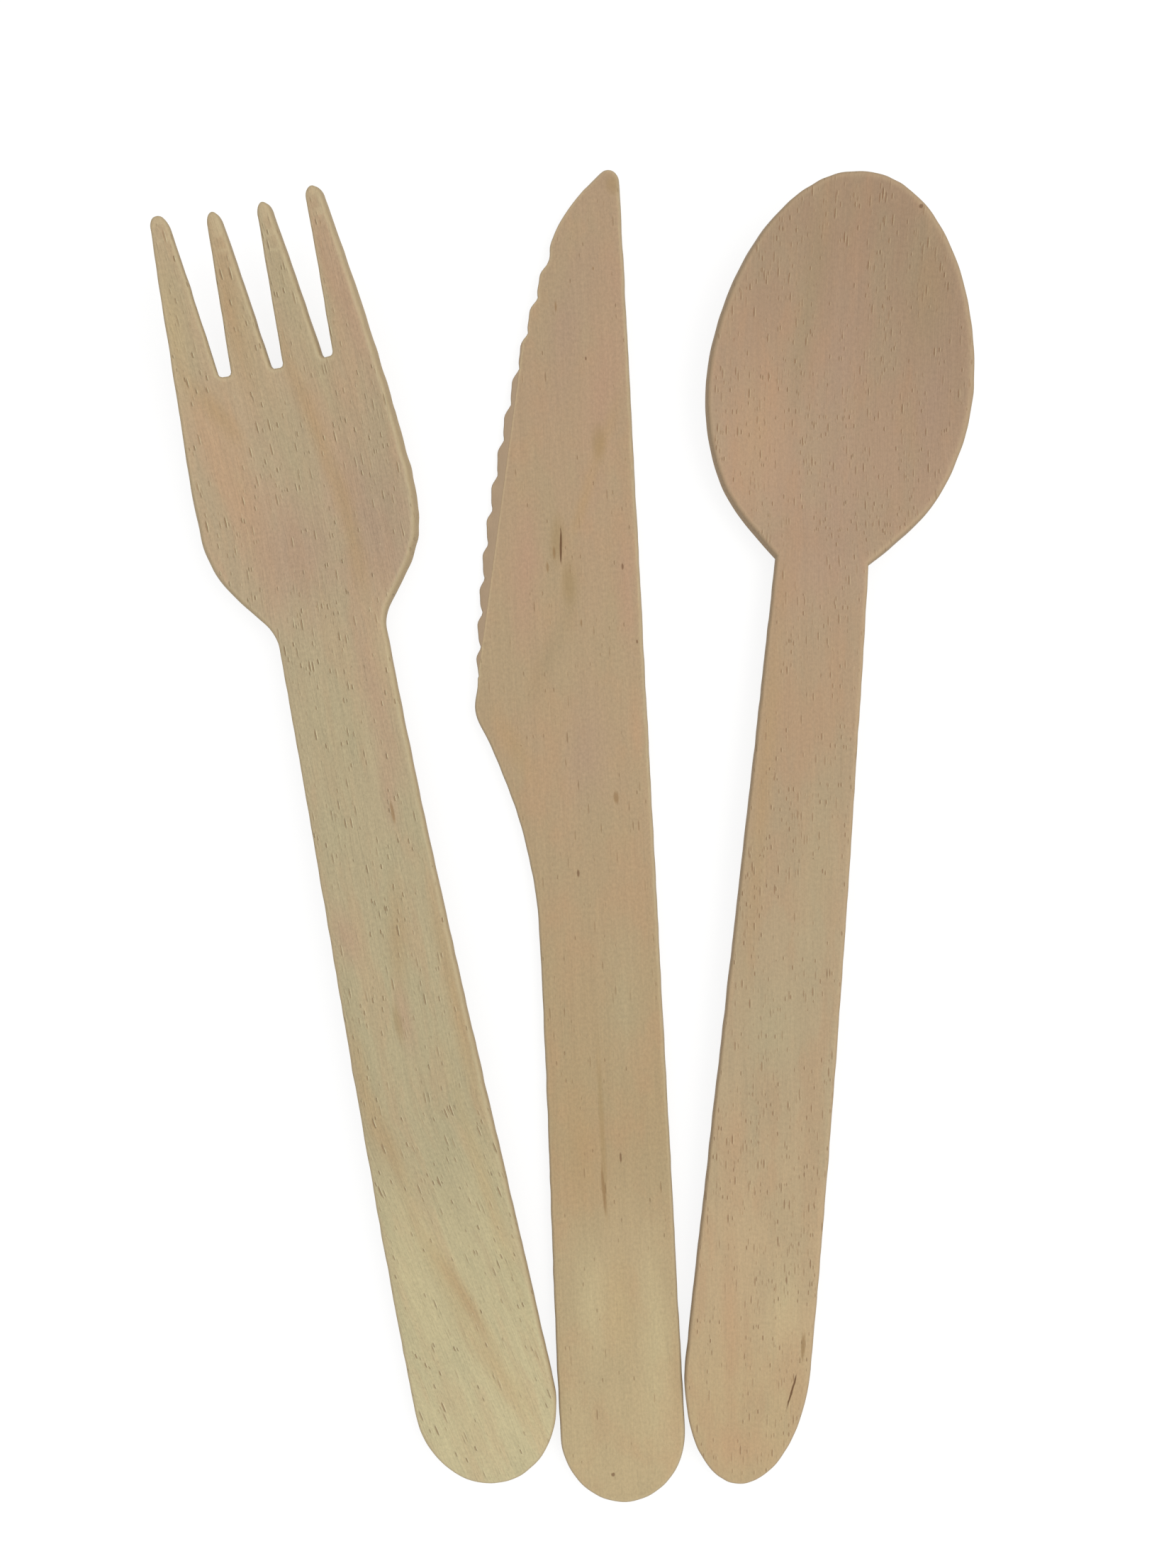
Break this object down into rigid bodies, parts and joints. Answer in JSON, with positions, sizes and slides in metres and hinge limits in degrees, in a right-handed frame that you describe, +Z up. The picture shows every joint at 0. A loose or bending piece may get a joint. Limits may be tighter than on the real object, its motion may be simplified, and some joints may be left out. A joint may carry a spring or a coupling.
{
  "type": "wooden cutlery set",
  "caption": "Disposable birch veneer fork, serrated knife and spoon, lying side by side with their handle ends together and their heads fanned out.",
  "frame": {"origin": "middle of the set's box, on the table that the pieces lie on", "axes": "+Z up off the table, +Y from the handle ends to the tips, +X from the fork to the spoon"},
  "size_m": [0.0982, 0.1654, 0.0112],
  "materials": {
    "fork_birch": "matte",
    "knife_birch": "matte",
    "spoon_birch": "matte"
  },
  "bodies": {
    "root": {"fork": "fork_birch", "knife": "knife_birch", "spoon": "spoon_birch"}
  },
  "joints": []
}
